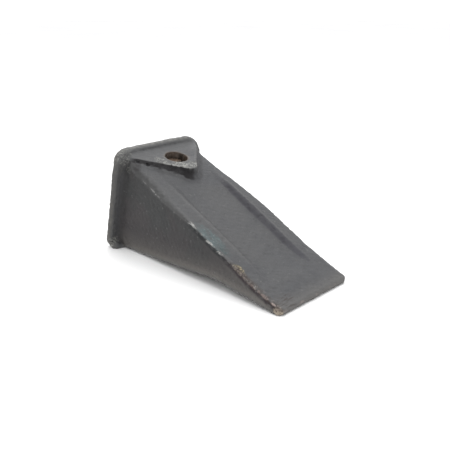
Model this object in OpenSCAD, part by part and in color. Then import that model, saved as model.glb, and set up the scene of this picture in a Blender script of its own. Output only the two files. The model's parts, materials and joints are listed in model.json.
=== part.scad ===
// Bucket tooth for a small excavator: a hollow cast point that slides over the nose of an adapter
// and is held on it by a flex pin driven in from above.
//
// The casting is drawn along its own centre line: x runs from the rear face to the tip, z runs along
// the pin. lying_down() then lays it on its underside, on the rim of its flange and the edge of its
// tip, with +Z up and the origin on the ground under the middle of the tooth.

/* [Casting] */
// Length from the rear face to the tip
tooth_length = 165; // [145:1:185]
// Width of the body at its parting line
body_width = 69.5; // [64:0.5:72]
// Draft of the two side faces, in degrees
side_draft = 1.5; // [0:0.1:3]
// Height above the centre line at which the side faces lean in to the top
shoulder_z = 21.5; // [18:0.5:26]
// Lean of the side faces above the shoulder, in degrees
shoulder_slope = 9; // [5:1:20]
// Thickness of the cutting edge at the tip
tip_thickness = 5.2; // [4:0.1:7]

/* [Flange] */
// Width of the flange round the rear opening
flange_width = 83.6; // [78:0.2:88]
// Height of the flange round the rear opening
flange_height = 81.2; // [81:0.2:86]
// Thickness of the flange, whose rim is a full round
flange_thickness = 5.5; // [5:0.1:7]
// Radius of the corners of the flange
flange_corner_r = 9; // [5:0.5:12]

/* [Top face] */
// Rise of the top face from its long edges to the crests of the ribs
crown_rise = 1.8; // [0.5:0.1:2.5]
// Slope of the rise, in degrees
crown_slope = 9.5; // [6:0.5:14]
// Width of each rib, from the side face to its crest
rib_width = 12.5; // [9:0.5:14]
// Depth of the scoop between the ribs
scoop_depth = 3.1; // [1:0.1:3.5]
// Width of the slope from the rib down to the floor of the scoop
scoop_slope = 4; // [3:0.5:6]

/* [Adapter socket] */
// Width of the socket at its mouth
socket_mouth_width = 50.8; // [46:0.2:52]
// Height of the socket at its mouth
socket_mouth_height = 50; // [46:0.2:51]
// Width of the socket at its inner end
socket_end_width = 43; // [38:0.2:45]
// Height of the socket at its inner end
socket_end_height = 15; // [12:0.2:16]
// Depth of the socket from the rear face
socket_depth = 88; // [80:1:90]

/* [Pin] */
// Radius of the bore that the pin is driven through
bore_r = 8.25; // [8:0.05:9.5]
// Distance of the pin from the rear face
pin_x = 21.5; // [20:0.1:24]
// Height of the face of the ear above the centre line
ear_z = 35.8; // [35:0.1:37]
// Radial gap between the pin and its bore
pin_gap = 0.25; // [0.1:0.05:0.4]
// Depth of the end of the pin below the face of the ear
pin_recess = 4.6; // [3:0.1:8]
// Thickness of the rubber between the two halves of the pin
rubber_thickness = 3.2; // [2.4:0.1:4]

/* [Hidden] */
$fn = 96;

// How far a cutting shape runs past the face it cuts
over = 1;

// Side view of the body above the centre line, as [share of the length, height]
top_line = [[0, 33], [0.19, 28], [0.35, 23.3], [0.5, 17.9], [0.66, 11.7], [0.83, 6.1]];
// Side view of the body below the centre line, as [share of the length, depth]
bottom_line = [[0, 39.8], [0.07, 38.5], [0.19, 32.9], [0.35, 24.7], [0.5, 16.8], [0.66, 9.1], [0.83, 5.3]];
// Rise of the top face, as [share of the length, share of the full rise]
crown_line = [[0.66, 1], [0.98, 0]];
// Floor of the scoop, as [share of the length, share of the full depth]
scoop_line = [[0.23, 0], [0.38, 1], [0.5, 1], [0.68, 0.9], [0.88, 0]];

rim_r = flange_thickness / 2;
rim_half_y = flange_width / 2 - rim_r;
rim_half_z = flange_height / 2 - rim_r;
tip_r = tip_thickness / 2;
tip_x = tooth_length - tip_r;

// Lying on its underside the tooth touches the ground with the rim of the flange and the tip
rest_run = tip_x - rim_r;
rest_pitch = atan2(rim_half_z, rest_run) + asin((rim_r - tip_r) / norm([rest_run, rim_half_z]));
rest_lift = rim_r * (1 + sin(rest_pitch)) + rim_half_z * cos(rest_pitch);
// Middle of the tooth along the ground, between the low rim of the flange and the tip
rear_most = rim_r * cos(rest_pitch) - rim_half_z * sin(rest_pitch) - rim_r;
front_most = tip_x * cos(rest_pitch) + tip_r;
rest_shift = (rear_most + front_most) / 2;

// The ear is a triangle that springs from the flange and points at the tip, with a round point
ear_point_r = 6;
ear_point_x = 35.5;
ear_foot_z = 22;

// The pin reaches as far below the centre line as above it
pin_r = bore_r - pin_gap;
pin_half_length = ear_z - pin_recess;
pin_chamfer = 1.2;
rubber_inset = 0.5;
// Flat seat round the lower mouth of the bore
seat_r = 11;
seat_z = 34.6;

steel_grey = [0.36, 0.36, 0.37];
pin_brown = [0.33, 0.27, 0.23];
rubber_black = [0.09, 0.09, 0.09];

module lying_down() {
    translate([-rest_shift, 0, rest_lift])
        rotate([0, rest_pitch, 0])
            children();
}

// Side view drawn in x and z, given the width w across the tooth
module side_view_block(w) {
    rotate([90, 0, 0])
        linear_extrude(w, center = true)
            children();
}

// Height of the crests of the ribs at a share of the length
function crest_z(share) = lookup(share, top_line) + crown_rise * lookup(share, crown_line);

// Side view of the body: a deep wedge that runs out into a shallow blade with a round edge
module body_side_view() {
    upper = [for (p = top_line) [max(p[0] * tooth_length, rim_r), crest_z(p[0])]];
    lower = [
        for (i = [len(bottom_line) - 1:-1:0])
            [max(bottom_line[i][0] * tooth_length, rim_r), -bottom_line[i][1]]
    ];
    polygon(concat(upper, [[tip_x, tip_r], [tip_x, -tip_r]], lower));
    translate([tip_x, 0])
        circle(tip_r);
}

// Cross section of the body, drafted above and below its parting line, with a shoulder along the top
module body_section() {
    half = body_width / 2;
    reach = flange_height / 2;
    low = half - reach * tan(side_draft);
    shoulder = half - shoulder_z * tan(side_draft);
    high = shoulder - (reach - shoulder_z) * tan(shoulder_slope);
    right_side = [[low, -reach], [half, 0], [shoulder, shoulder_z], [high, reach]];
    left_side = [for (i = [len(right_side) - 1:-1:0]) [-right_side[i][0], right_side[i][1]]];
    polygon(concat(right_side, left_side));
}

// Everything under the slope that rises inwards from one long edge: side is 1 on the -Y side
module under_slope(side) {
    edge_y = body_width / 2 - shoulder_z * tan(side_draft);
    rise = edge_y * tan(crown_slope);
    slope_line = [for (p = top_line) [p[0] * tooth_length, (p[1] + rise) * cos(crown_slope)]];
    front = [tooth_length + over, (tip_r + rise) * cos(crown_slope)];
    floor_z = -2 * flange_height;
    rotate([side * crown_slope, 0, 0])
        side_view_block(2 * flange_width)
            polygon(concat(slope_line, [front, [front[0], floor_z], [0, floor_z]]));
}

module body_block() {
    intersection() {
        side_view_block(body_width + 2 * over)
            body_side_view();
        rotate([90, 0, 90])
            linear_extrude(tooth_length + over)
                body_section();
        under_slope(1);
        under_slope(-1);
    }
}

// Flange: a plate across the rear of the body with round corners and a full round rim
module flange() {
    corner_y = flange_width / 2 - flange_corner_r;
    corner_z = flange_height / 2 - flange_corner_r;
    translate([rim_r, 0, 0]) {
        cube([flange_thickness, 2 * corner_y, 2 * rim_half_z], center = true);
        cube([flange_thickness, 2 * rim_half_y, 2 * corner_z], center = true);
        for (side = [-1, 1]) {
            translate([0, 0, side * rim_half_z])
                rotate([90, 0, 0])
                    cylinder(r = rim_r, h = 2 * corner_y, center = true);
            translate([0, side * rim_half_y, 0])
                cylinder(r = rim_r, h = 2 * corner_z, center = true);
            for (end = [-1, 1])
                translate([0, side * corner_y, end * corner_z])
                    rotate([0, 90, 0])
                        rim_corner();
        }
    }
}

// One corner of the flange: a disc with a full round rim
module rim_corner() {
    rotate_extrude()
        intersection() {
            translate([0, -rim_r])
                square([flange_corner_r, flange_thickness]);
            union() {
                translate([0, -rim_r])
                    square([flange_corner_r - rim_r, flange_thickness]);
                translate([flange_corner_r - rim_r, 0])
                    circle(rim_r);
            }
        }
}

// Ear: the triangular boss that stiffens the wall round the bore, with its face parallel to the
// centre line
module ear() {
    // Its sides run from the full width of the body at the flange, tangent to the round point
    root = [flange_thickness, body_width / 2];
    from_point = [root[0] - ear_point_x, root[1]];
    turn = atan2(from_point[1], from_point[0]) - acos(ear_point_r / norm(from_point));
    touch = [ear_point_x + ear_point_r * cos(turn), ear_point_r * sin(turn)];
    intersection() {
        translate([0, 0, ear_foot_z])
            linear_extrude(ear_z - ear_foot_z) {
                polygon([
                    [rim_r, -root[1]],
                    [root[0], -root[1]],
                    [touch[0], -touch[1]],
                    touch,
                    root,
                    [rim_r, root[1]]
                ]);
                translate([ear_point_x, 0])
                    circle(ear_point_r);
            }
        rotate([90, 0, 90])
            linear_extrude(tooth_length)
                body_section();
    }
}

// Scoop: a shallow trough between the two side ribs that runs out flat towards the tip
module scoop() {
    floor_points = [
        for (p = scoop_line)
            [p[0] * tooth_length, crest_z(p[0]) - p[1] * scoop_depth]
    ];
    start = floor_points[0];
    finish = floor_points[len(floor_points) - 1];
    half_top = body_width / 2 - rib_width;
    // Its sides follow the straight line from start to finish and widen upwards
    fall = atan2(start[1] - finish[1], finish[0] - start[0]);
    low = -2 * scoop_depth;
    spread = scoop_slope / scoop_depth;
    intersection() {
        side_view_block(body_width)
            polygon(concat(floor_points, [[finish[0], ear_z], [start[0], ear_z]]));
        translate([start[0], 0, start[1]])
            rotate([0, fall, 0])
                translate([-tooth_length / 4, 0, 0])
                    rotate([90, 0, 90])
                        linear_extrude(tooth_length)
                            polygon([
                                [-half_top - low * spread, low],
                                [half_top + low * spread, low],
                                [half_top - low * spread, -low],
                                [-half_top + low * spread, -low]
                            ]);
    }
}

// Adapter socket: a wedge-shaped hole from the rear face, narrower both ways at its inner end
module adapter_socket() {
    // Both outlines run on past the rear face at the same taper
    extra = over / socket_depth;
    mouth_y = socket_mouth_width / 2 + extra * (socket_mouth_width - socket_end_width) / 2;
    mouth_z = socket_mouth_height / 2 + extra * (socket_mouth_height - socket_end_height) / 2;
    end_y = socket_end_width / 2;
    end_z = socket_end_height / 2;
    intersection() {
        side_view_block(2 * mouth_y)
            polygon([[-over, -mouth_z], [socket_depth, -end_z], [socket_depth, end_z], [-over, mouth_z]]);
        translate([0, 0, -mouth_z])
            linear_extrude(2 * mouth_z)
                polygon([[-over, -mouth_y], [socket_depth, -end_y], [socket_depth, end_y], [-over, mouth_y]]);
    }
}

// Bore for the pin through both walls, with a flat seat round its lower mouth
module pin_bore() {
    translate([pin_x, 0, -flange_height / 2 - over])
        cylinder(r = bore_r, h = flange_height + 2 * over);
    translate([pin_x, 0, -flange_height / 2 - over])
        cylinder(r = seat_r, h = flange_height / 2 + over - seat_z);
}

module tooth_casting() {
    color(steel_grey)
        lying_down()
            difference() {
                union() {
                    difference() {
                        body_block();
                        scoop();
                    }
                    flange();
                    ear();
                }
                adapter_socket();
                pin_bore();
            }
}

// The pin's whole round shape, standing across the socket
module pin_round(r, chamfer) {
    translate([pin_x, 0, -pin_half_length])
        rotate_extrude()
            polygon([
                [0, 0],
                [r - chamfer, 0],
                [r, chamfer],
                [r, 2 * pin_half_length - chamfer],
                [r - chamfer, 2 * pin_half_length],
                [0, 2 * pin_half_length]
            ]);
}

// One steel half of the pin, on the side of the tip (1) or of the rear face (-1)
module pin_half(side) {
    color(pin_brown)
        lying_down()
            intersection() {
                pin_round(pin_r, pin_chamfer);
                translate([pin_x + side * (rubber_thickness / 2 + pin_r), 0, 0])
                    cube([2 * pin_r, 3 * pin_r, 3 * pin_half_length], center = true);
            }
}

module pin_front_half() {
    pin_half(1);
}

module pin_rear_half() {
    pin_half(-1);
}

// Rubber bonded between the halves, a little short of their edges all round
module pin_rubber_core() {
    height = 2 * (pin_half_length - 2 * rubber_inset);
    color(rubber_black)
        lying_down()
            intersection() {
                translate([pin_x, 0, 0])
                    cylinder(r = pin_r - rubber_inset, h = height, center = true);
                translate([pin_x, 0, 0])
                    cube([rubber_thickness, 3 * pin_r, height + over], center = true);
            }
}

tooth_casting();
pin_front_half();
pin_rear_half();
pin_rubber_core();
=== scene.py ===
"""Looks of a cast bucket tooth and the flex pin through it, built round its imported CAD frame.

The casting and the pin are drawn as distance fields in the tooth's own frame, in millimetres: x
runs from the rear face to the tip, z along the pin. Each field is turned into a mesh, laid in the
row frame by the adapter_socket mount, and stands for its CAD node.
"""

import json
import math

import bpy
import numpy as np
from mathutils import Matrix, Vector


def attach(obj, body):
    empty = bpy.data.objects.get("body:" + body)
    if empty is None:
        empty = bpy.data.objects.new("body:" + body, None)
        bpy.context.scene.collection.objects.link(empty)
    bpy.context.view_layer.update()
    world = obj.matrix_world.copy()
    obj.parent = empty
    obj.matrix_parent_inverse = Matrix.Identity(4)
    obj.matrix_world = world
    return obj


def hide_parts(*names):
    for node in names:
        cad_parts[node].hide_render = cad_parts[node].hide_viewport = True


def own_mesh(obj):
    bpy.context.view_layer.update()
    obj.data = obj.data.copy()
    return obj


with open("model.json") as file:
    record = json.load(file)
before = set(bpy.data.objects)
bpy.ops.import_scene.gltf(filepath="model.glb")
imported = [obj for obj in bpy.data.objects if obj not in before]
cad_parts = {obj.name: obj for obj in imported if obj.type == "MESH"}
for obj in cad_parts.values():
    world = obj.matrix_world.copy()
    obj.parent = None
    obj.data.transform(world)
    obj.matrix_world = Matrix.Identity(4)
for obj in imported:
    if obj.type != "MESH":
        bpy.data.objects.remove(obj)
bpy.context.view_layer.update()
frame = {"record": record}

MM = 0.001

# ---------------------------------------------------------------- sizes in mm, as in the CAD

LENGTH = 165
BODY_WIDTH = 69.5
SIDE_DRAFT = math.radians(1.5)
SHOULDER_Z = 21.5
SHOULDER_SLOPE = math.radians(9)
FLANGE_WIDTH = 83.6
FLANGE_HEIGHT = 81.2
FLANGE_THICKNESS = 5.5
FLANGE_CORNER_R = 9
CROWN_RISE = 1.8
CROWN_SLOPE = math.radians(9.5)
RIB_WIDTH = 12.5
SCOOP_DEPTH = 3.1
SCOOP_SLOPE = 4
SOCKET_MOUTH = (50.8, 50)
SOCKET_END = (43, 15)
SOCKET_DEPTH = 88
BORE_R = 8.25
PIN_X = 21.5
EAR_Z = 35.8
EAR_POINT_X = 35.5
EAR_POINT_R = 6
PIN_R = 8
PIN_HALF_LENGTH = 31.2
RUBBER_THICKNESS = 3.2
SEAT_R = 11
SEAT_Z = 34.6

# Side view of the body, as shares of the length and heights above and below the centre line
TOP_LINE = [
    (0, 33), (0.19, 28), (0.35, 23.3), (0.5, 17.9), (0.66, 11.7), (0.83, 6.1), (0.985, 2.6),
    (1.05, 1.1),
]
BOTTOM_LINE = [
    (0, 39.8), (0.07, 38.5), (0.19, 32.9), (0.35, 24.7), (0.5, 16.8), (0.66, 9.1), (0.83, 5.3),
    (0.985, 2.6), (1.05, 1.5),
]
# Rise of the top face from its long edges to the crests of the ribs, as a share of the full rise
CROWN_LINE = [(0, 1), (0.66, 1), (0.98, 0), (1, 0)]
# Depth of the scoop along the body, as shares of the length and of its full depth: it runs out
# more softly towards the tip than in the CAD
SCOOP_LINE = [(0.22, 0), (0.38, 1), (0.5, 1), (0.7, 0.85), (0.82, 0.5), (0.885, 0)]
# Radius of the long top edges: a soft shoulder by the ear that sharpens towards the tip
EDGE_LINE = [(0, 2.5), (0.04, 3), (0.085, 5.2), (0.27, 4.2), (0.39, 2.6), (0.48, 1.1), (1, 0.9)]

# ---------------------------------------------------------------- sizes in mm, of the skin only

# Fillets at the feet of the ear and of the flange, where the flange's is tighter along its top
EAR_FILLET = 4.5
FLANGE_FILLET = 4.8
FLANGE_TOP_FILLET = 2.8
# Roundings of the ear's rim, the flange's rim, the underside's long edges, the tip and the socket
EAR_EDGE_R = 0.8
RIM_R = 2.4
UNDERSIDE_EDGE_R = 1.5
TIP_CORNER_R = 4.2
TIP_EDGE_R = 2.3
SOCKET_CORNER_R = 4.5
SOCKET_END_R = 5
SOCKET_MOUTH_R = 1.3
# Draft of the ear's two sides
EAR_DRAFT = math.radians(7)
# How much rounder than in the CAD the flange's far top, near bottom and other corners are
FAR_TOP_CORNER = 10
NEAR_BOTTOM_CORNER = -2
OTHER_CORNERS = 1
# How far the casting is warped
WARP = 0.22
# Grids that the fields are meshed on, and the share of the triangles kept
CASTING_GRID = 0.6
CASTING_KEEP = 0.53
STEEL_GRID = 0.45
RUBBER_GRID = 0.4
PIN_KEEP = 0.5
# Reaches over which a bend counts as a sharp edge and as a broad one
SHARP_REACH = 0.9
BROAD_REACH = 3.0

# Specular level of dull metal, rubber and paper
DULL_SPECULAR = 0.35


# ---------------------------------------------------------------- the tooth's own frame


def tooth_matrix():
    """Carries a point of the tooth's frame, in millimetres, to the row frame, in metres."""
    mount = next(m for m in frame["record"]["mounts"] if m["name"] == "adapter_socket")
    along = -Vector(mount["axis"]).normalized()
    across = Vector((0, 1, 0))
    up = along.cross(across)
    turn = Matrix((along, across, up)).transposed().to_4x4()
    return Matrix.Translation(mount["pos_m"]) @ turn @ Matrix.Scale(MM, 4)


TOOTH = tooth_matrix()
TOOTH_ROTATION = np.array(TOOTH.to_3x3()) / MM
TOOTH_ORIGIN = np.array(TOOTH.translation)


def to_row(points):
    """Carries many points of the tooth's frame to the row frame."""
    return points * MM @ TOOTH_ROTATION.T + TOOTH_ORIGIN


# ---------------------------------------------------------------- distance field tools


def soft_max(a, b, r):
    """Intersection of two fields whose common edge is rounded to radius r."""
    u = np.maximum(a + r, 0)
    v = np.maximum(b + r, 0)
    return np.minimum(-r, np.maximum(a, b)) + np.sqrt(u * u + v * v)


def soft_min(a, b, r):
    """Union of two fields that meet in a fillet of radius r."""
    return -soft_max(-a, -b, r)


def smooth_line(points, softness):
    """A polyline over the length of the tooth, smoothed, as a function of x."""
    step = 0.5
    beyond = 40
    xs = np.arange(-beyond, LENGTH + beyond, step)
    shares, heights = zip(*points)
    ys = np.interp(xs, np.array(shares) * LENGTH, heights)
    reach = np.arange(-3 * softness, 3 * softness + step, step)
    weights = np.exp(-0.5 * (reach / softness) ** 2)
    weights /= weights.sum()
    padded = np.pad(ys, len(reach) // 2, mode="edge")
    smooth = np.convolve(padded, weights, mode="valid")[: len(xs)]
    return lambda x: np.interp(x, xs, smooth).astype(np.float32)


def smooth_step(value, low, high):
    t = np.clip((value - low) / (high - low), 0, 1)
    return t * t * (3 - 2 * t)


def waves(points, seed, shortest, longest, count=22):
    """A smooth random relief of about unit height: the sum of waves in seeded directions."""
    rng = np.random.default_rng(seed)
    total = np.zeros(len(points), np.float32)
    for _ in range(count):
        direction = rng.normal(size=3)
        direction /= np.linalg.norm(direction)
        length = math.exp(rng.uniform(math.log(shortest), math.log(longest)))
        phase = rng.uniform(0, 2 * math.pi)
        total += np.sin(points @ (direction * 2 * math.pi / length) + phase).astype(np.float32)
    return total / math.sqrt(count / 2)


def ellipsoid(points, centre, radii):
    """Distance to an ellipsoid, good near its surface."""
    scaled = (points - np.array(centre)) / np.array(radii)
    return ((np.linalg.norm(scaled, axis=1) - 1) * min(radii)).astype(np.float32)


# ---------------------------------------------------------------- the casting's field

top_height = smooth_line(TOP_LINE, 4)
bottom_depth = smooth_line(BOTTOM_LINE, 4)
crown_share = smooth_line(CROWN_LINE, 4)
scoop_share = smooth_line(SCOOP_LINE, 3)
edge_radius = smooth_line(EDGE_LINE, 3)


def half_width(z):
    """Half the width of the body at height z: drafted, and leaning in above the shoulder."""
    low_part = np.minimum(np.abs(z), np.where(z > 0, SHOULDER_Z, 1000))
    high_part = np.maximum(z - SHOULDER_Z, 0)
    return BODY_WIDTH / 2 - low_part * math.tan(SIDE_DRAFT) - high_part * math.tan(SHOULDER_SLOPE)


def top_face(x, y):
    """Height of the top face: it rises from each long edge to a rib, with the scoop between."""
    edge = BODY_WIDTH / 2 - SHOULDER_Z * math.tan(SIDE_DRAFT)
    slope = math.tan(CROWN_SLOPE) * (edge - np.abs(y))
    rise = soft_min(slope, CROWN_RISE * crown_share(x), 0.5)
    half_top = BODY_WIDTH / 2 - RIB_WIDTH
    across = 1 - smooth_step(np.abs(y), half_top - SCOOP_SLOPE, half_top + 0.8)
    return top_height(x) + rise - SCOOP_DEPTH * scoop_share(x) * across


def ear_field(x, y, z):
    """The triangular ear: two drafted sides that meet in a round point, under a near-flat face."""
    back = FLANGE_THICKNESS - EAR_POINT_X
    out = BODY_WIDTH / 2
    turn = math.atan2(out, back) - math.acos(EAR_POINT_R / math.hypot(back, out))
    nx, ny = math.cos(turn), math.sin(turn)
    reach = nx * EAR_POINT_X + EAR_POINT_R
    near = nx * x - ny * y - reach
    far = nx * x + ny * y - reach
    plan = soft_max(near, far, EAR_POINT_R)
    crown = 0.25 * (1 - (y / 30) ** 2)
    side = plan - (EAR_Z - z) * math.tan(EAR_DRAFT)
    return soft_max(side, z - EAR_Z - crown + 0.2, EAR_EDGE_R)


def flange_field(x, y, z):
    """The flange: a rectangle with rounded corners, a round rim and a slightly bowed top."""
    half_depth = FLANGE_THICKNESS / 2
    bow = 0.3 * np.clip(1 - (y / 34) ** 2, 0, 1) * (z > 0)
    extra = np.where((y > 0) & (z > 0), FAR_TOP_CORNER, OTHER_CORNERS)
    extra = np.where((y < 0) & (z < 0), NEAR_BOTTOM_CORNER, extra)
    corner = FLANGE_CORNER_R + extra
    qy = np.abs(y) - (FLANGE_WIDTH / 2 - corner)
    qz = np.abs(z) - (FLANGE_HEIGHT / 2 + bow - corner)
    outside = np.hypot(np.maximum(qy, 0), np.maximum(qz, 0))
    outline = outside + np.minimum(np.maximum(qy, qz), 0) - corner
    return soft_max(outline, np.abs(x - half_depth) - half_depth, RIM_R)


def socket_field(x, y, z):
    """The socket: it tapers from its mouth in the rear face to its rounded inner end."""
    share = x / SOCKET_DEPTH
    half_y = (SOCKET_MOUTH[0] + share * (SOCKET_END[0] - SOCKET_MOUTH[0])) / 2
    half_z = (SOCKET_MOUTH[1] + share * (SOCKET_END[1] - SOCKET_MOUTH[1])) / 2
    taper = math.atan((SOCKET_MOUTH[1] - SOCKET_END[1]) / 2 / SOCKET_DEPTH)
    walls = soft_max((np.abs(z) - half_z) * math.cos(taper), np.abs(y) - half_y, SOCKET_CORNER_R)
    return soft_max(walls, x - SOCKET_DEPTH, SOCKET_END_R)


# Nicks along the two long top edges, as (x, length, size, brightness of the bared metal)
NEAR_NICKS = (
    (80.2, 2.6, 0.7, 1.0), (83.2, 1.6, 0.5, 0.9), (91.0, 1.3, 0.4, 0.4), (98.6, 2.6, 0.6, 1.0),
    (101.6, 1.2, 0.4, 0.8), (108.8, 2.2, 0.7, 0.9), (117.0, 1.4, 0.5, 0.3), (123.0, 2.2, 1.2, 0.2),
    (127.5, 2.6, 1.3, 0.2), (132.4, 0.8, 0.5, 0.8), (138.6, 2.8, 0.9, 0.3), (145.6, 1.0, 0.6, 0.4),
    (150.6, 2.8, 1.1, 0.5), (158.4, 2.0, 0.8, 0.9), (161.6, 1.6, 1.6, 0.3),
)
FAR_NICKS = (
    (96.0, 1.4, 0.5, 0.6), (112.0, 2.0, 0.6, 0.8), (131.0, 1.2, 0.5, 0.5), (147.0, 1.8, 0.6, 0.7),
)


def chips():
    """What is knocked off the long top edges and the tip, as (centre, radii, brightness)."""
    rng = np.random.default_rng(11)
    found = []
    for side, nicks in ((-1, NEAR_NICKS), (1, FAR_NICKS)):
        for x, length, size, bright in nicks:
            z = float(top_height(x))
            y = side * (float(half_width(np.array(z))) + 0.3 * size + rng.uniform(-0.5, 0.2))
            found.append(((x, y, z + rng.uniform(-0.5, 0.5) * size), (length, size, size), bright))
    for y in np.linspace(-30, 30, 9):
        size = float(rng.uniform(0.5, 1.0))
        place = (LENGTH + 0.3, float(y + rng.uniform(-2, 2)), 1.6)
        found.append((place, (size, size * 2, size), float(rng.uniform(0.2, 0.6))))
    return found


CHIPS = chips()
# Remains of the sprue at the foot of the flange
LUMPS = [((7.0, -37.0, -37.8), (4.4, 3.4, 3.0)), ((9.5, -33.5, -38.2), (3.0, 2.6, 1.9))]
# Casting flaws in the near wall of the ear
PITS = [((13.5, -29.1, 33.4), (2.4, 1.0, 1.0)), ((19.0, -24.7, 33.0), (1.9, 1.1, 1.1))]


def shoulder_flash(x, top):
    """Height of the flash left by the mould along each shoulder, with a groove above it."""
    along = smooth_step(x, 6, 12) * smooth_step(-x, -82, -70)
    below = -top - edge_radius(x) * 0.75
    ridge = 0.28 * np.exp(-((below / 0.8) ** 2))
    groove = 0.25 * np.exp(-(((below + 1.7) / 0.8) ** 2))
    broken = 0.6 + 0.4 * np.sin(x / 2.9) * np.sin(x / 5.3 + 1)
    return along * broken * (ridge - groove)


def casting_field(points):
    """The whole casting. Its warp, chips, lumps and pits are part of the field."""
    x, y, z = points.T
    bend = WARP * waves(points, 3, 28, 90, 10)
    ys = y + bend
    zs = z + 0.6 * bend
    side = (np.abs(ys) - half_width(zs)) * math.cos(SIDE_DRAFT)
    top = (zs - top_face(x, ys)) * 0.98
    side = side - shoulder_flash(x, top)
    top = soft_min(top, ear_field(x, ys, z), EAR_FILLET)
    bottom = (-bottom_depth(x) - zs) * 0.96
    front = x - LENGTH
    parts = [
        soft_max(side, top, edge_radius(x)),
        soft_max(side, bottom, UNDERSIDE_EDGE_R),
        soft_max(side, front, TIP_CORNER_R),
        soft_max(top, front, TIP_EDGE_R),
        soft_max(bottom, front, TIP_EDGE_R),
        FLANGE_THICKNESS / 2 - x,
    ]
    solid = parts[0]
    for part in parts[1:]:
        solid = np.maximum(solid, part)
    fillet = FLANGE_FILLET + (FLANGE_TOP_FILLET - FLANGE_FILLET) * smooth_step(z, 18, 28)
    solid = soft_min(solid, flange_field(x, y, z), fillet)
    for centre, radii in LUMPS:
        solid = local(solid, points, centre, radii, lambda a, b: soft_min(a, b, 1.5))
    for centre, radii, _ in CHIPS:
        solid = local(solid, points, centre, radii, lambda a, b: soft_max(a, -b, 0.25))
    for centre, radii in PITS:
        solid = local(solid, points, centre, radii, lambda a, b: soft_max(a, -b, 0.4))
    solid = soft_max(solid, -socket_field(x, y, z), SOCKET_MOUTH_R)
    rho = np.hypot(x - PIN_X, y)
    solid = soft_max(solid, BORE_R - rho, 0.4)
    seat = soft_max(rho - SEAT_R, z + SEAT_Z, 0.4)
    solid = soft_max(solid, -seat, 0.6)
    # Nothing reaches below the ground
    ground = -(points @ TOOTH_ROTATION[2] + TOOTH_ORIGIN[2] / MM)
    return np.maximum(solid, ground)


def local(solid, points, centre, radii, join):
    """Joins an ellipsoid to the solid where it can change it."""
    reach = max(radii) + 2
    near = np.flatnonzero(np.abs(points[:, 0] - centre[0]) < reach)
    near = near[np.abs(points[near, 1] - centre[1]) < reach]
    near = near[np.abs(points[near, 2] - centre[2]) < reach]
    if len(near):
        solid[near] = join(solid[near], ellipsoid(points[near], centre, radii))
    return solid


# ---------------------------------------------------------------- the pin's fields


def pin_half_field(side):
    """One steel half of the pin: side is 1 towards the tip and -1 towards the rear face."""

    def field(points):
        x, y, z = points.T
        u = x - PIN_X
        rho = np.hypot(u, y)
        # Hammering has dished the ends and turned their edges
        end = PIN_HALF_LENGTH - 0.5 * smooth_step(rho, 6.6, 8.4) - 0.25 * smooth_step(-rho, -4, 0)
        body = soft_max(rho - PIN_R, np.abs(z) - end, 0.9)
        return soft_max(body, RUBBER_THICKNESS / 2 - side * u, 0.45)

    return field


def rubber_field(points):
    """The rubber between the halves, a little smaller than the pin all round."""
    x, y, z = points.T
    u = x - PIN_X
    # The rubber's free edges are hollow between the halves
    hollow = 0.35 * (1 - (u / (RUBBER_THICKNESS / 2)) ** 2)
    side = np.abs(y) - np.sqrt(np.maximum((PIN_R - 0.45) ** 2 - u * u, 0)) + hollow
    end = np.abs(z) - (PIN_HALF_LENGTH - 0.9) + hollow
    return soft_max(soft_max(side, end, 0.5), np.abs(u) - RUBBER_THICKNESS / 2, 0.06)


# ---------------------------------------------------------------- from a field to a mesh


def surface_net(field, low, high, step):
    """Vertices and quads of the field's zero surface: one vertex in each cell that it crosses."""
    counts = [int(math.ceil((b - a) / step)) + 1 for a, b in zip(low, high)]
    axes = [
        np.float32(a) + np.float32(step) * np.arange(n, dtype=np.float32)
        for a, n in zip(low, counts)
    ]
    values = np.empty(counts, np.float32)
    # The field is worked out in slabs, so that it doesn't need the whole grid's points at once
    slab = 24
    for i in range(0, counts[0], slab):
        grid = np.meshgrid(axes[0][i : i + slab], axes[1], axes[2], indexing="ij")
        points = np.stack([g.ravel() for g in grid], axis=1)
        values[i : i + slab] = field(points).reshape(grid[0].shape)
    inside = values < 0

    corner_offsets = [(a, b, c) for a in (0, 1) for b in (0, 1) for c in (0, 1)]
    cells = [n - 1 for n in counts]
    total = np.zeros(cells, np.uint8)
    for a, b, c in corner_offsets:
        total += inside[a : a + cells[0], b : b + cells[1], c : c + cells[2]]
    crossed = np.argwhere((total > 0) & (total < 8))
    index = np.full(cells, -1, np.int32)
    index[tuple(crossed.T)] = np.arange(len(crossed))

    sums = np.zeros((len(crossed), 3))
    hits = np.zeros(len(crossed))
    for axis in range(3):
        for offset in corner_offsets:
            if offset[axis]:
                continue
            start = crossed + offset
            stop = start.copy()
            stop[:, axis] += 1
            d0 = values[tuple(start.T)]
            d1 = values[tuple(stop.T)]
            cut = (d0 < 0) != (d1 < 0)
            share = np.where(cut, d0 / np.where(cut, d0 - d1, 1), 0)
            place = np.array(offset, float) + share[:, None] * np.eye(3)[axis]
            sums += place * cut[:, None]
            hits += cut
    vertices = np.array(low) + step * (crossed + sums / hits[:, None])

    # Each grid edge that crosses the surface gives a quad of the four cells round it
    quads = []
    for axis in range(3):
        b, c = (axis + 1) % 3, (axis + 2) % 3
        change = inside != np.roll(inside, -1, axis=axis)
        inner = [slice(None)] * 3
        inner[axis] = slice(0, counts[axis] - 1)
        inner[b] = slice(1, counts[b] - 1)
        inner[c] = slice(1, counts[c] - 1)
        place = np.argwhere(change[tuple(inner)])
        place[:, b] += 1
        place[:, c] += 1
        outward = inside[tuple(place.T)]
        around = []
        for db, dc in ((-1, -1), (0, -1), (0, 0), (-1, 0)):
            cell = place.copy()
            cell[:, b] += db
            cell[:, c] += dc
            around.append(index[tuple(cell.T)])
        ring = np.stack(around, axis=1)
        quads.append(np.where(outward[:, None], ring, ring[:, ::-1]))
    return vertices, np.concatenate(quads)


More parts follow.
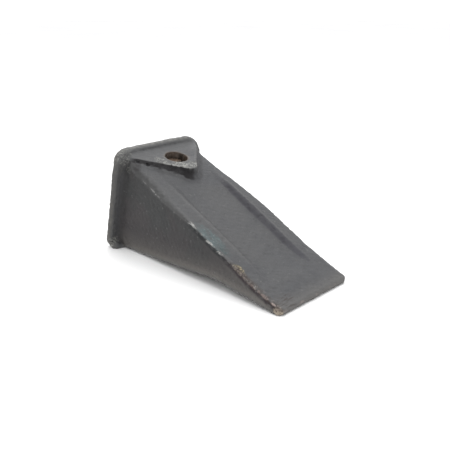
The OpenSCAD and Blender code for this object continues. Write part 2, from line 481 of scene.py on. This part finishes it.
def gradient(field, points, reach=0.05):
    """Slope of the field along each axis."""
    parts = []
    for axis in range(3):
        offset = np.zeros(3)
        offset[axis] = reach
        parts.append((field(points + offset) - field(points - offset)) / (2 * reach))
    return np.stack(parts, axis=1)


def settle(field, points, rounds=2):
    """Moves points onto the field's zero surface."""
    for _ in range(rounds):
        slope = gradient(field, points)
        size = np.maximum((slope**2).sum(axis=1), 0.25)
        points = points - slope * (field(points) / size)[:, None]
    return points


def bentness(field, points, reach):
    """Curvature of the surface over a distance: above 0 on convex edges and below 0 in corners."""
    total = -6 * field(points)
    for axis in range(3):
        for side in (-reach, reach):
            offset = np.zeros(3)
            offset[axis] = side
            total += field(points + offset)
    return total / reach**2


def thin_out(piece, keep):
    """Replaces the mesh of a piece with one that has about that share of its triangles."""
    full = piece.data
    thin = piece.modifiers.new("thin", "DECIMATE")
    thin.ratio = keep
    graph = bpy.context.evaluated_depsgraph_get()
    thinned = bpy.data.meshes.new_from_object(piece.evaluated_get(graph))
    piece.modifiers.clear()
    piece.data = thinned
    bpy.data.meshes.remove(full)
    thinned.name = piece.name


def piece_from_field(name, field, low, high, step, keep, relief=None, marks=None):
    """A piece whose surface is where the field is 0, raised by the relief along its normals.

    Each of the marks becomes a vertex attribute that the materials read, as do the two bends.
    """
    vertices, quads = surface_net(field, low, high, step)
    vertices = settle(field, vertices)
    if relief:
        normals = gradient(field, vertices, 0.12)
        normals /= np.maximum(np.linalg.norm(normals, axis=1), 1e-6)[:, None]
        vertices = vertices + normals * relief(vertices)[:, None]
    mesh = bpy.data.meshes.new(name)
    mesh.from_pydata(vertices.tolist(), [], quads.tolist())
    piece = bpy.data.objects.new(name, mesh)
    bpy.context.scene.collection.objects.link(piece)
    if keep < 1:
        thin_out(piece, keep)
        mesh = piece.data
    points = np.empty(len(mesh.vertices) * 3, np.float32)
    mesh.vertices.foreach_get("co", points)
    points = points.reshape(-1, 3).astype(float)
    add_floats(mesh, "convex", bentness(field, points, SHARP_REACH))
    add_floats(mesh, "broad", bentness(field, points, BROAD_REACH))
    for mark, values in (marks or {}).items():
        add_floats(mesh, mark, values(points))
    row_points = to_row(points)
    # The rough skin doesn't reach below the ground
    row_points[:, 2] = np.maximum(row_points[:, 2], 0)
    mesh.vertices.foreach_set("co", row_points.astype(np.float32).ravel())
    mesh.update()
    mesh.shade_smooth()
    return piece


def add_floats(mesh, name, values):
    """Stores one number for each vertex under a name that materials can read."""
    attribute = mesh.attributes.new(name, "FLOAT", "POINT")
    attribute.data.foreach_set("value", values.astype(np.float32))


def chip_mark(points):
    """How bright the metal is where a chip is knocked off: 0 away from the chips."""
    mark = np.zeros(len(points), np.float32)
    for centre, radii, bright in CHIPS:
        # The brightness fades over the chip's rim
        mark = local(
            mark, points, centre, radii,
            lambda old, distance: np.maximum(old, bright * smooth_step(-distance, -0.35, -0.1)),
        )
    return mark


def below_top(points):
    """Depth below the top face, in millimetres."""
    return top_face(points[:, 0], points[:, 1]) - points[:, 2]


def above_bottom(points):
    """Height above the underside, in millimetres."""
    return points[:, 2] + bottom_depth(points[:, 0])


CASTING_MARKS = {"chip": chip_mark, "below": below_top, "above": above_bottom}


def casting_relief(points):
    """Height of the cast skin: swells, sandy grain and shallow pits, none of it in the bore."""
    swell = 0.09 * waves(points, 21, 9, 26)
    grain = 0.07 * waves(points, 22, 2.6, 5.5, 30)
    pits = waves(points, 23, 3.5, 8, 26)
    pitted = -0.22 * smooth_step(pits, 1.7, 2.6)
    free = smooth_step(np.hypot(points[:, 0] - PIN_X, points[:, 1]), BORE_R + 0.3, BORE_R + 2)
    return free * (swell + grain + pitted)


# ---------------------------------------------------------------- materials


class Graph:
    """Short ways to add shader nodes to one material, whose colour is painted layer on layer."""

    def __init__(self, name):
        self.material = bpy.data.materials.new(name)
        self.material.use_nodes = True
        self.tree = self.material.node_tree
        self.shader = self.tree.nodes["Principled BSDF"]
        coordinates = self.tree.nodes.new("ShaderNodeTexCoord")
        self.place = self.tooth_coordinates(coordinates.outputs["Object"])
        self.base = None

    def tooth_coordinates(self, source):
        """The surface point in the tooth's own frame, in millimetres."""
        mapping = self.tree.nodes.new("ShaderNodeMapping")
        mapping.vector_type = "TEXTURE"
        mapping.inputs["Location"].default_value = TOOTH.translation
        mapping.inputs["Rotation"].default_value = TOOTH.to_3x3().normalized().to_euler()
        mapping.inputs["Scale"].default_value = (MM, MM, MM)
        self.tree.links.new(source, mapping.inputs["Vector"])
        return mapping.outputs["Vector"]

    def set(self, socket, value):
        if isinstance(value, bpy.types.NodeSocket):
            self.tree.links.new(value, socket)
        else:
            socket.default_value = value

    def math(self, operation, a, b=0.0, clamp=False):
        node = self.tree.nodes.new("ShaderNodeMath")
        node.operation = operation
        node.use_clamp = clamp
        self.set(node.inputs[0], a)
        self.set(node.inputs[1], b)
        return node.outputs[0]

    def times(self, *factors):
        product = factors[0]
        for factor in factors[1:]:
            product = self.math("MULTIPLY", product, factor)
        return product

    def plus(self, a, b, clamp=False):
        return self.math("ADD", a, b, clamp)

    def minus(self, a, b):
        return self.math("SUBTRACT", a, b)

    def larger(self, a, b):
        return self.math("MAXIMUM", a, b)

    def ramp(self, value, low, high, start=0.0, stop=1.0):
        """A smooth step from start, where the value is low, to stop, where it is high."""
        node = self.tree.nodes.new("ShaderNodeMapRange")
        node.interpolation_type = "SMOOTHSTEP"
        self.set(node.inputs["Value"], value)
        node.inputs["From Min"].default_value = low
        node.inputs["From Max"].default_value = high
        node.inputs["To Min"].default_value = start
        node.inputs["To Max"].default_value = stop
        return node.outputs["Result"]

    def noise(self, size, detail=3.0, roughness=0.55, stretch=None):
        """Noise whose lumps are about size millimetres across."""
        node = self.tree.nodes.new("ShaderNodeTexNoise")
        source = self.place
        if stretch:
            scale = self.tree.nodes.new("ShaderNodeVectorMath")
            scale.operation = "MULTIPLY"
            self.set(scale.inputs[0], source)
            scale.inputs[1].default_value = stretch
            source = scale.outputs[0]
        self.set(node.inputs["Vector"], source)
        node.inputs["Scale"].default_value = 1 / size
        node.inputs["Detail"].default_value = detail
        node.inputs["Roughness"].default_value = roughness
        return node.outputs["Fac"]

    def cells(self, size):
        """Distance to the nearest of many points that lie about size millimetres apart."""
        node = self.tree.nodes.new("ShaderNodeTexVoronoi")
        self.set(node.inputs["Vector"], self.place)
        node.inputs["Scale"].default_value = 1 / size
        return node.outputs["Distance"]

    def attribute(self, name):
        node = self.tree.nodes.new("ShaderNodeAttribute")
        node.attribute_name = name
        return node.outputs["Fac"]

    def axis(self, name, source=None):
        node = self.tree.nodes.new("ShaderNodeSeparateXYZ")
        self.set(node.inputs[0], source or self.place)
        return node.outputs[name]

    def normal(self):
        """The surface's own direction, in the tooth's frame."""
        geometry = self.tree.nodes.new("ShaderNodeNewGeometry")
        mapping = self.tree.nodes.new("ShaderNodeMapping")
        mapping.vector_type = "NORMAL"
        back = TOOTH.to_3x3().normalized().transposed()
        mapping.inputs["Rotation"].default_value = back.to_euler()
        self.set(mapping.inputs["Vector"], geometry.outputs["Normal"])
        return mapping.outputs["Vector"]

    def colour(self, factor, a, b):
        """A mix of two colours, each one an RGB value or a socket: a at 0 and b at 1."""
        node = self.tree.nodes.new("ShaderNodeMix")
        node.data_type = "RGBA"
        self.set(node.inputs["Factor"], factor)
        # The node's colour sockets share their names with its number and vector sockets
        for index, value in ((6, a), (7, b)):
            if not isinstance(value, bpy.types.NodeSocket):
                value = (*value, 1)
            self.set(node.inputs[index], value)
        return node.outputs[2]

    def paint(self, mask, tone):
        """Lays a colour over all that has been painted so far, as far as the mask says."""
        self.base = self.colour(mask, self.base, tone)

    def patch(self, centre, radii, noise, ragged=0.8):
        """A ragged spot, 1 in its middle and 0 outside, of the given radii in millimetres."""
        offset = self.tree.nodes.new("ShaderNodeVectorMath")
        offset.operation = "SUBTRACT"
        self.set(offset.inputs[0], self.place)
        offset.inputs[1].default_value = centre
        scaled = self.tree.nodes.new("ShaderNodeVectorMath")
        scaled.operation = "DIVIDE"
        self.set(scaled.inputs[0], offset.outputs[0])
        scaled.inputs[1].default_value = radii
        length = self.tree.nodes.new("ShaderNodeVectorMath")
        length.operation = "LENGTH"
        self.set(length.inputs[0], scaled.outputs[0])
        edge = self.plus(length.outputs["Value"], self.times(noise, ragged))
        return self.ramp(edge, 1.0 + 0.5 * ragged, 0.55 + 0.5 * ragged)

    def bump(self, height, distance, strength=1.0, normal=None):
        node = self.tree.nodes.new("ShaderNodeBump")
        node.inputs["Strength"].default_value = strength
        node.inputs["Distance"].default_value = distance
        self.set(node.inputs["Height"], height)
        if normal is not None:
            self.set(node.inputs["Normal"], normal)
        return node.outputs["Normal"]

    def finish(self, roughness, normal, metallic=0.0):
        self.set(self.shader.inputs["Base Color"], self.base)
        self.set(self.shader.inputs["Roughness"], roughness)
        self.set(self.shader.inputs["Normal"], normal)
        self.set(self.shader.inputs["Metallic"], metallic)
        self.shader.inputs["Specular IOR Level"].default_value = DULL_SPECULAR
        return self.material


class CastSteel(Graph):
    """The noises and the masks that the layers of the cast steel share."""

    def __init__(self):
        super().__init__("cast_steel")
        self.big = self.noise(34, 3)
        self.mottle = self.noise(7, 4, 0.6)
        self.grit = self.noise(1.1, 3, 0.65)
        self.fine = self.noise(1.6, 4, 0.7)
        self.rag = self.noise(3.2, 4, 0.7)
        self.flecks = self.noise(1.1, 3, 0.8)
        self.x = self.axis("X")
        self.y = self.axis("Y")
        self.below = self.attribute("below")
        self.above = self.attribute("above")
        self.convex = self.attribute("convex")
        self.broad = self.attribute("broad")
        self.facing = self.normal()
        self.flank = self.ramp(self.math("ABSOLUTE", self.axis("Y", self.facing)), 0.45, 0.85)
        from_pin = self.math("POWER", self.minus(self.x, PIN_X), 2.0)
        self.from_pin = self.math("SQRT", self.plus(from_pin, self.math("POWER", self.y, 2.0)))


def paint_scale(g):
    """A cool grey top, and darker flanks that turn from green-grey to purple-brown."""
    blotches = g.ramp(g.mottle, 0.3, 0.7)
    cool = g.colour(blotches, (0.046, 0.047, 0.051), (0.067, 0.068, 0.072))
    warm = g.colour(blotches, (0.027, 0.024, 0.025), (0.043, 0.039, 0.040))
    warm = g.colour(g.ramp(g.big, 0.45, 0.62, 0.0, 0.6), warm, (0.026, 0.029, 0.029))
    g.base = g.colour(g.flank, cool, warm)
    pale_top = g.times(g.ramp(g.big, 0.35, 0.65, 0.0, 0.35), g.minus(1.0, g.flank))
    g.paint(pale_top, (0.078, 0.077, 0.076))


def paint_bounce_light_and_grit(g):
    """Painted bounce light low on flanks and near the tip; dark grit and pale specks all over."""
    # Painted bounce light from the floor: a paler tone low on the flanks and towards the tip
    dusty = g.larger(g.ramp(g.above, 20, 3, 0.0, 0.75), g.ramp(g.x, 95, 140, 0.0, 0.8))
    g.paint(g.times(dusty, g.flank, g.ramp(g.rag, 0.3, 0.6, 0.65, 1.0)), (0.084, 0.078, 0.073))
    # Painted bounce light along the bottom edge by the flange
    bottom_edge_bounce_light = g.times(g.ramp(g.above, 8, 2, 0.0, 0.8), g.ramp(g.x, 8, 30))
    g.paint(bottom_edge_bounce_light, (0.120, 0.112, 0.103))
    g.paint(g.ramp(g.grit, 0.52, 0.72, 0.0, 0.40), (0.022, 0.021, 0.022))
    g.paint(g.ramp(g.noise(2.2, 2, 0.5), 0.66, 0.74, 0.0, 0.5), (0.12, 0.12, 0.118))


def paint_flange_dirt(g):
    """Olive dirt on the rim of the flange, paler where it faces up."""
    rim = g.times(g.ramp(g.x, 6.0, 4.2), g.ramp(g.axis("X", g.facing), -0.9, -0.5, 0.35, 1.0))
    dirt = g.times(rim, g.ramp(g.noise(5, 4, 0.65), 0.38, 0.62, 0.3, 0.95))
    facing_up = g.ramp(g.axis("Z", g.facing), 0.1, 0.7)
    g.paint(dirt, g.colour(facing_up, (0.082, 0.077, 0.065), (0.185, 0.180, 0.166)))


def paint_edge_highlight_and_corner_shade(g):
    """Paler soft edges, partly worn scale and partly painted highlight, and painted shade in
    corners.

    Returns the mask of the painted shade on the ear's walls.
    """
    # Paler soft edges: partly scale rubbed thin, partly a painted highlight
    g.paint(g.ramp(g.broad, 0.03, 0.25, 0.0, 0.45), (0.088, 0.088, 0.088))
    by_flange = g.times(g.ramp(g.below, -0.2, -1.2), g.ramp(g.x, 22, 6, 0.0, 0.8))
    g.paint(g.times(by_flange, g.ramp(g.x, 4.0, 5.5)), (0.095, 0.096, 0.098))
    # Painted shade in the hollows by the ear and the flange
    hollow = g.times(g.ramp(g.broad, -0.03, -0.25, 0.0, 0.6), g.ramp(g.x, 60, 42, 0.25, 1.0))
    hollow = g.times(hollow, g.ramp(g.below, -2.0, 0.0))
    # Painted shade on the ear's steep walls, darkest where they face the near side
    wall_shade = g.times(
        g.ramp(g.axis("Z", g.facing), 0.84, 0.62),
        g.ramp(g.below, -0.2, -1.0),
        g.ramp(g.x, 7, 11),
        g.ramp(g.from_pin, BORE_R + 1, BORE_R + 2),
        g.ramp(g.mottle, 0.3, 0.6, 0.7, 1.0),
        g.ramp(g.axis("Y", g.facing), 0.05, -0.35, 0.25, 1.0),
    )
    g.paint(g.larger(hollow, wall_shade), (0.016, 0.015, 0.016))
    return wall_shade


def paint_scoop_wall_shade(g):
    """Painted shade, tinted blue-purple, on the far wall of the scoop."""
    wall_shade = g.times(g.ramp(g.axis("Y", g.facing), -0.10, -0.35), g.ramp(g.y, 12, 17))
    wall_shade = g.times(wall_shade, g.ramp(g.x, 42, 60), g.ramp(g.x, 150, 144))
    g.paint(g.times(wall_shade, 0.7), (0.034, 0.033, 0.041))


def paint_rub_mark(g):
    """A pale green-grey rub mark on top of the near rib, in streaks along it."""
    streak = g.noise(2.2, 4, 0.7, stretch=(0.45, 1.4, 1))
    rubbed = g.times(g.patch((98, -31, 15), (21, 6.0, 9), g.rag, 0.9), g.ramp(g.below, 1.0, 0.2))
    rubbed = g.times(rubbed, g.ramp(streak, 0.36, 0.62, 0.25, 1.0))
    tone = g.colour(g.ramp(g.x, 98, 112), (0.064, 0.092, 0.095), (0.036, 0.052, 0.054))
    g.paint(g.times(rubbed, 0.8), tone)
    g.paint(g.times(rubbed, g.ramp(g.flecks, 0.56, 0.62, 0.0, 0.45)), (0.22, 0.25, 0.25))


def paint_edge_shadow(g):
    """Painted shadow under the long top edges, purple-brown towards the tip. Returns its mask."""
    edge_shadow = g.times(
        g.ramp(g.below, 0.1, 0.9),
        g.ramp(g.below, 4.6, 2.2),
        g.flank,
        g.ramp(g.x, 70, 84, 0.0, 0.95),
        g.ramp(g.rag, 0.34, 0.55, 0.35, 1.0),
    )
    # Painted shadow under the long top edges
    g.paint(edge_shadow, g.colour(g.ramp(g.x, 105, 125), (0.012, 0.014, 0.015), (0.020, 0.013, 0.016)))
    return edge_shadow


def paint_rust(g):
    """Brown spots all over, tan rust on the near edge and at the tip, brown rust in the bore."""
    spots = g.ramp(g.noise(4.2, 5, 0.75), 0.66, 0.72, 0.0, 0.5)
    g.paint(g.times(spots, 0.5), (0.09, 0.055, 0.034))
    tan = g.patch((126.5, -33.0, 9.6), (7.0, 3.4, 3.0), g.fine, 1.0)
    tan_tone = g.colour(g.ramp(g.flecks, 0.44, 0.58), (0.040, 0.034, 0.022), (0.27, 0.225, 0.135))
    g.paint(g.times(tan, 0.85), tan_tone)
    lines = g.ramp(g.noise(1.6, 4, 0.7, stretch=(1.6, 0.25, 1)), 0.48, 0.60)
    scratched = g.times(g.patch((160, -25, 3), (7, 10, 4), g.rag, 0.9), lines)
    g.paint(g.times(scratched, 0.7), (0.034, 0.024, 0.021))
    tip = g.patch((162.5, -34.5, 0.2), (4.5, 3.5, 3.8), g.rag, 0.9)
    tip_tone = g.colour(g.ramp(g.flecks, 0.42, 0.56), (0.060, 0.042, 0.034), (0.32, 0.275, 0.215))
    g.paint(g.times(tip, 0.85), tip_tone)

    bore = g.ramp(g.from_pin, BORE_R + 0.9, BORE_R + 0.1)
    blotches = g.ramp(g.mottle, 0.35, 0.65)
    g.paint(bore, g.colour(blotches, (0.020, 0.014, 0.010), (0.064, 0.041, 0.028)))
    halo = g.times(g.ramp(g.from_pin, BORE_R + 3.2, BORE_R), g.ramp(g.rag, 0.4, 0.62, 0.0, 0.6))
    g.paint(halo, (0.10, 0.080, 0.064))


# Where the scale has flaked, by the bore, on the ear's point and on two corners of the flange:
# centre and radii in millimetres, whether it is only on the face that looks up, and how much
FLAKED = (
    ((35, -6.5, 35), (9, 8, 4), True, 1.0),
    ((37, 4, 35.5), (6, 8, 3), True, 0.8),
    ((23, -15, 35.5), (9, 5, 2.5), True, 0.7),
    ((3, -35, 34), (5.5, 9, 9), False, 0.6),
    ((3.5, -38, -37), (6, 6, 9), False, 1.0),
    ((9, -31, 26), (5, 4, 4), False, 0.5),
)


def paint_flakes(g):
    """Cream and black specks where the scale has flaked. Returns the mask of the black ones."""
    face = g.ramp(g.axis("Z", g.facing), 0.45, 0.8)
    flaked = 0.0
    for centre, radii, on_face, strength in FLAKED:
        spot = g.times(g.patch(centre, radii, g.rag, 0.9), face if on_face else 1.0)
        flaked = g.larger(flaked, g.times(spot, strength))
    g.paint(g.times(flaked, 0.4), (0.092, 0.092, 0.085))
    cream = g.times(flaked, g.ramp(g.flecks, 0.50, 0.58, 0.0, 0.9))
    g.paint(cream, (0.30, 0.30, 0.28))
    black = g.times(flaked, g.ramp(g.fine, 0.53, 0.60, 0.0, 0.75))
    g.paint(black, (0.016, 0.015, 0.014))
    return black


def paint_crust(g):
    """Crust along the near edge of the tip: dark brown with clusters of pale pink chips."""
    crust = g.times(g.ramp(g.below, -0.8, -0.1), g.ramp(g.below, 1.8, 0.9))
    crust = g.times(crust, g.ramp(g.y, -30.5, -33.5), g.ramp(g.x, 115, 124))
    dark = g.times(g.ramp(g.rag, 0.36, 0.5, 0.2, 0.7), g.ramp(g.x, 138, 145, 1.3, 1.0))
    g.paint(g.times(crust, dark), (0.034, 0.025, 0.022))
    clusters = g.times(g.ramp(g.noise(5.5, 3, 0.6), 0.49, 0.58), g.ramp(g.x, 136, 144, 0.3, 1.0))
    pink = g.times(crust, clusters, g.ramp(g.flecks, 0.47, 0.56, 0.0, 0.75))
    g.paint(pink, g.colour(g.ramp(g.mottle, 0.4, 0.6), (0.28, 0.275, 0.26), (0.25, 0.21, 0.19)))


def paint_worn_metal(g):
    """Bright metal in the chips and on sharp edges, pinker towards the tip. Returns its mask."""
    chip = g.times(g.attribute("chip"), g.ramp(g.fine, 0.36, 0.52))
    ear_edge = g.times(
        g.ramp(g.convex, 0.3, 0.8),
        g.ramp(g.x, 22, 32),
        g.ramp(g.x, 48, 44),
        g.ramp(g.y, -1, -5),
        g.ramp(g.fine, 0.42, 0.56),
    )
    broken = g.ramp(g.noise(2.4, 4, 0.7), 0.54, 0.64, 0.0, 0.45)
    nick = g.times(g.ramp(g.convex, 0.45, 0.95), broken, g.ramp(g.x, 60, 90))
    worn = g.larger(g.larger(chip, nick), g.times(ear_edge, 0.8))
    metal = g.colour(g.ramp(g.x, 112, 135), (0.34, 0.34, 0.33), (0.30, 0.245, 0.225))
    g.paint(g.times(worn, 0.9), metal)
    return worn


def cast_steel():
    """Dark grey foundry scale, worn bright along its edges and rusting in places."""
    g = CastSteel()
    paint_scale(g)
    paint_bounce_light_and_grit(g)
    paint_flange_dirt(g)
    ear_wall_shade = paint_edge_highlight_and_corner_shade(g)
    paint_scoop_wall_shade(g)
    paint_rub_mark(g)
    edge_shadow = paint_edge_shadow(g)
    paint_rust(g)
    black = paint_flakes(g)
    paint_crust(g)
    worn = paint_worn_metal(g)

    skin = g.bump(g.plus(g.times(g.mottle, 0.5), g.times(g.grit, 0.35)), 0.0008, 0.7)
    pores = g.bump(g.ramp(g.cells(2.6), 0.0, 0.30), 0.0003, 0.4, skin)
    rough = g.minus(g.ramp(g.mottle, 0.3, 0.7, 0.56, 0.74), g.times(worn, 0.18))
    dull = g.larger(g.times(edge_shadow, 0.6), g.larger(ear_wall_shade, black))
    rough = g.plus(rough, g.times(dull, 0.25), clamp=True)
    return g.finish(rough, pores, g.times(worn, 0.4))


def pin_steel():
    """Brown rusted steel, rubbed brighter on its round side."""
    g = Graph("pin_steel")
    blotch = g.noise(5, 5, 0.65)
    fine = g.noise(1.0, 4, 0.7)
    long_marks = g.noise(1.6, 4, 0.6, stretch=(1, 1, 0.12))
    g.base = g.colour(g.ramp(blotch, 0.35, 0.65), (0.070, 0.045, 0.031), (0.170, 0.108, 0.070))
    g.paint(g.ramp(fine, 0.55, 0.75, 0.0, 0.7), (0.045, 0.035, 0.03))
    rubbed = g.times(g.ramp(long_marks, 0.52, 0.64), g.ramp(blotch, 0.62, 0.42))
    g.paint(g.times(rubbed, 0.65), (0.25, 0.235, 0.22))
    edge = g.times(g.ramp(g.attribute("convex"), 0.3, 1.0), g.ramp(fine, 0.42, 0.6))
    g.paint(g.times(edge, 0.6), (0.36, 0.31, 0.27))
    ends = g.ramp(g.math("ABSOLUTE", g.axis("Z", g.normal())), 0.6, 0.9)
    g.paint(ends, g.colour(g.ramp(fine, 0.4, 0.62), (0.040, 0.026, 0.018), (0.125, 0.082, 0.056)))
    skin = g.bump(g.plus(g.times(blotch, 0.5), g.times(fine, 0.4)), 0.0004, 0.6)
    rough = g.minus(g.ramp(fine, 0.3, 0.7, 0.6, 0.8), g.times(rubbed, 0.28))
    return g.finish(rough, skin, g.times(rubbed, 0.7))


def pin_rubber():
    """Matt black rubber, dusty with rust."""
    g = Graph("pin_rubber")
    dust = g.noise(3, 5, 0.7)
    grain = g.noise(0.7, 3, 0.6)
    dusty = g.ramp(dust, 0.5, 0.7, 0.0, 0.55)
    g.base = g.colour(dusty, (0.021, 0.020, 0.020), (0.085, 0.062, 0.046))
    skin = g.bump(g.plus(g.times(dust, 0.3), g.times(grain, 0.4)), 0.0003, 0.5)
    return g.finish(g.ramp(dust, 0.4, 0.7, 0.62, 0.85), skin)


def pale_floor():
    g = Graph("pale_floor")
    g.base = g.colour(g.ramp(g.noise(260, 2), 0.3, 0.7), (0.85, 0.85, 0.855), (0.88, 0.88, 0.88))
    return g.finish(0.75, g.bump(g.noise(1.5, 2), 0.0001, 0.1))


# ---------------------------------------------------------------- pieces


def put(piece, node, body, material):
    """Gives a piece its material, and lets it stand for its CAD node on its body."""
    piece.data.materials.append(material)
    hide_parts(node)
    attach(piece, body)


def make_casting():
    margin = 1.5
    low = (-margin, -FLANGE_WIDTH / 2 - margin, -FLANGE_HEIGHT / 2 - margin)
    high = (LENGTH + margin, FLANGE_WIDTH / 2 + margin, FLANGE_HEIGHT / 2 + margin)
    piece = piece_from_field(
        "tooth_casting_surface",
        casting_field,
        low,
        high,
        step=CASTING_GRID,
        keep=CASTING_KEEP,
        relief=casting_relief,
        marks=CASTING_MARKS,
    )
    put(piece, "tooth_casting", "tooth", cast_steel())


def make_pin():
    """The two steel halves, and the rubber between them, which gets a mesh of its own."""
    reach = PIN_R + 1
    low = (PIN_X - reach, -reach, -PIN_HALF_LENGTH - 1)
    high = (PIN_X + reach, reach, PIN_HALF_LENGTH + 1)
    steel = pin_steel()
    for name, side, node, body in (
        ("pin_front_half_surface", 1, "pin_front_half", "pin_front"),
        ("pin_rear_half_surface", -1, "pin_rear_half", "pin"),
    ):
        piece = piece_from_field(name, pin_half_field(side), low, high, STEEL_GRID, PIN_KEEP)
        put(piece, node, body, steel)
    rubber = piece_from_field(
        "pin_rubber_core_surface", rubber_field, low, high, RUBBER_GRID, PIN_KEEP
    )
    put(rubber, "pin_rubber_core", "pin", pin_rubber())
    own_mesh(rubber)


# ---------------------------------------------------------------- stage, light and camera


FLOOR_RADIUS = 6.0
FLOOR_SIDES = 48

# The camera, in metres and degrees: azimuth is counted from -Y, towards +X
CAMERA_AZIMUTH = math.radians(44.54)
CAMERA_ELEVATION = math.radians(20.06)
CAMERA_DISTANCE = 0.4328
CAMERA_TARGET = Vector((0, 0, 0.0387))
# How far the camera is moved sideways and down, without turning, to frame the tooth
CAMERA_RIGHT = 0.00257
CAMERA_DOWN = 0.00961
LENS_MM = 49.12
SENSOR_MM = 36


def make_floor():
    """A round floor, large enough that its rim is out of sight."""
    turns = [2 * math.pi * i / FLOOR_SIDES for i in range(FLOOR_SIDES)]
    rim = [(FLOOR_RADIUS * math.cos(turn), FLOOR_RADIUS * math.sin(turn), 0) for turn in turns]
    vertices = [(0, 0, 0)] + rim
    faces = [(0, i + 1, (i + 1) % FLOOR_SIDES + 1) for i in range(FLOOR_SIDES)]
    mesh = bpy.data.meshes.new("floor")
    mesh.from_pydata(vertices, [], faces)
    floor = bpy.data.objects.new("floor", mesh)
    bpy.context.scene.collection.objects.link(floor)
    floor.data.materials.append(pale_floor())


def add_area(name, place, target, size, power):
    """A round soft light at a place, turned to the target: metres and watts."""
    light = bpy.data.lights.new(name, "AREA")
    light.shape = "DISK"
    light.size = size
    light.energy = power
    lamp = bpy.data.objects.new(name, light)
    bpy.context.scene.collection.objects.link(lamp)
    lamp.location = place
    lamp.rotation_euler = (Vector(place) - Vector(target)).to_track_quat("Z", "Y").to_euler()


def make_light():
    """An even white surround, a large light overhead and a weaker one from the back left."""
    world = bpy.data.worlds.new("studio")
    bpy.context.scene.world = world
    world.use_nodes = True
    background = world.node_tree.nodes["Background"]
    background.inputs["Color"].default_value = (1, 1, 1, 1)
    background.inputs["Strength"].default_value = 1.15
    middle = (0, 0, 0.04)
    add_area("overhead", (0.05, 0.12, 1.2), middle, 1.2, 9)
    add_area("back_left", (-0.9, 0.7, 0.8), middle, 0.7, 3)


def make_camera():
    """A 49 mm lens 43 cm away, a little above the tooth and to the right of its side."""
    right = Vector((math.cos(CAMERA_AZIMUTH), math.sin(CAMERA_AZIMUTH), 0))
    level = Vector((math.sin(CAMERA_AZIMUTH), -math.cos(CAMERA_AZIMUTH), 0))
    back = level * math.cos(CAMERA_ELEVATION) + Vector((0, 0, math.sin(CAMERA_ELEVATION)))
    up = back.cross(right)
    camera = bpy.data.objects.new("camera", bpy.data.cameras.new("camera"))
    bpy.context.scene.collection.objects.link(camera)
    camera.data.sensor_width = SENSOR_MM
    camera.data.lens = LENS_MM
    camera.data.clip_start = 0.01
    centre = CAMERA_TARGET + right * CAMERA_RIGHT - up * CAMERA_DOWN
    camera.location = centre + back * CAMERA_DISTANCE
    camera.rotation_euler = Matrix((right, up, back)).transposed().to_euler()
    bpy.context.scene.camera = camera


make_camera()
make_light()
make_floor()
make_casting()
make_pin()
bpy.context.scene.view_settings.view_transform = "Standard"
